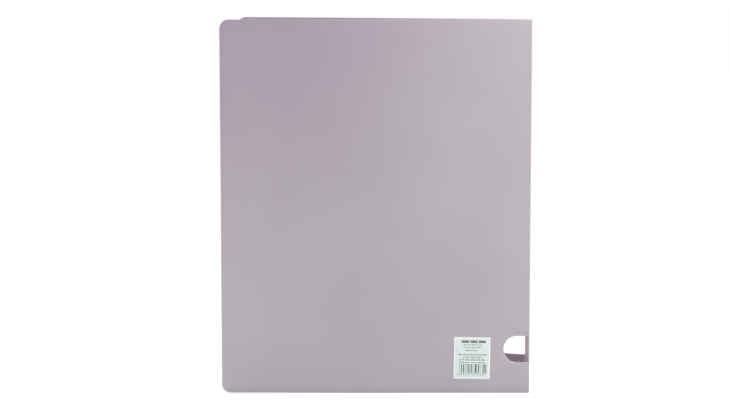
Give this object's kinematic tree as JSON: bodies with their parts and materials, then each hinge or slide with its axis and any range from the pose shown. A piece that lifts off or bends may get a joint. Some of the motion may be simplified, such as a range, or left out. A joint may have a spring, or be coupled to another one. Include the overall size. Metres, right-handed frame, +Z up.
{
  "type": "ring binder",
  "caption": "Translucent frosted plastic A4 ring binder with finger windows, a back label and a lever-opened round-ring mechanism riveted to its spine.",
  "frame": {"origin": "middle of the bounding box, on the surface that the binder stands on", "axes": "+Z up along the spine, +X towards the spine, +Y from the back cover towards the front cover"},
  "size_m": [0.2572, 0.0992, 0.31],
  "materials": {
    "frosted_sheet": "frosted translucent lilac-grey sheet with a fine sand grain",
    "label_paper": "smooth self-adhesive label stock",
    "plated_steel": "bright nickel plate"
  },
  "bodies": {
    "spine": {"spine_panel": "frosted_sheet", "ring_housing": "plated_steel", "rivet_upper": "plated_steel", "rivet_lower": "plated_steel", "lever_pin_upper": "plated_steel", "lever_pin_lower": "plated_steel"},
    "back_cover": {"back_cover": "frosted_sheet", "back_label": "label_paper"},
    "front_cover": {"front_cover": "frosted_sheet"},
    "back_blade": {"blade_back": "plated_steel", "ring_upper_back": "plated_steel", "ring_lower_back": "plated_steel"},
    "front_blade": {"blade_front": "plated_steel", "ring_upper_front": "plated_steel", "ring_lower_front": "plated_steel"},
    "upper_lever": {"lever_upper": "plated_steel"},
    "lower_lever": {"lever_lower": "plated_steel"}
  },
  "joints": [
    {"name": "back_cover_hinge", "type": "hinge", "parent": "spine", "child": "back_cover", "pos_m": [0.12695, -0.04899, 0], "axis": [0, 0, 1], "range_deg": [0, 180]},
    {"name": "front_cover_hinge", "type": "hinge", "parent": "spine", "child": "front_cover", "pos_m": [0.12695, -0.01479, 0], "axis": [0, 0, -1], "range_deg": [-14.5, 165.5]},
    {"name": "ring_opening", "type": "hinge", "parent": "spine", "child": "back_blade", "pos_m": [0.12395, -0.03989, 0.155], "axis": [0, 0, 1], "range_deg": [0, 12]},
    {"name": "front_blade_hinge", "type": "hinge", "parent": "spine", "child": "front_blade", "pos_m": [0.12395, -0.02389, 0.155], "axis": [0, 0, -1], "range_deg": [0, 12]},
    {"name": "upper_lever_hinge", "type": "hinge", "parent": "spine", "child": "upper_lever", "pos_m": [0.12415, -0.03189, 0.2165], "axis": [0, 1, 0], "range_deg": [0, 24]},
    {"name": "lower_lever_hinge", "type": "hinge", "parent": "spine", "child": "lower_lever", "pos_m": [0.12415, -0.03189, 0.0935], "axis": [0, -1, 0], "range_deg": [0, 24]}
  ],
  "couplings": [
    {"joint": "front_blade_hinge", "follows": "ring_opening", "ratio": 1},
    {"joint": "upper_lever_hinge", "follows": "ring_opening", "ratio": 2},
    {"joint": "lower_lever_hinge", "follows": "ring_opening", "ratio": 2}
  ]
}
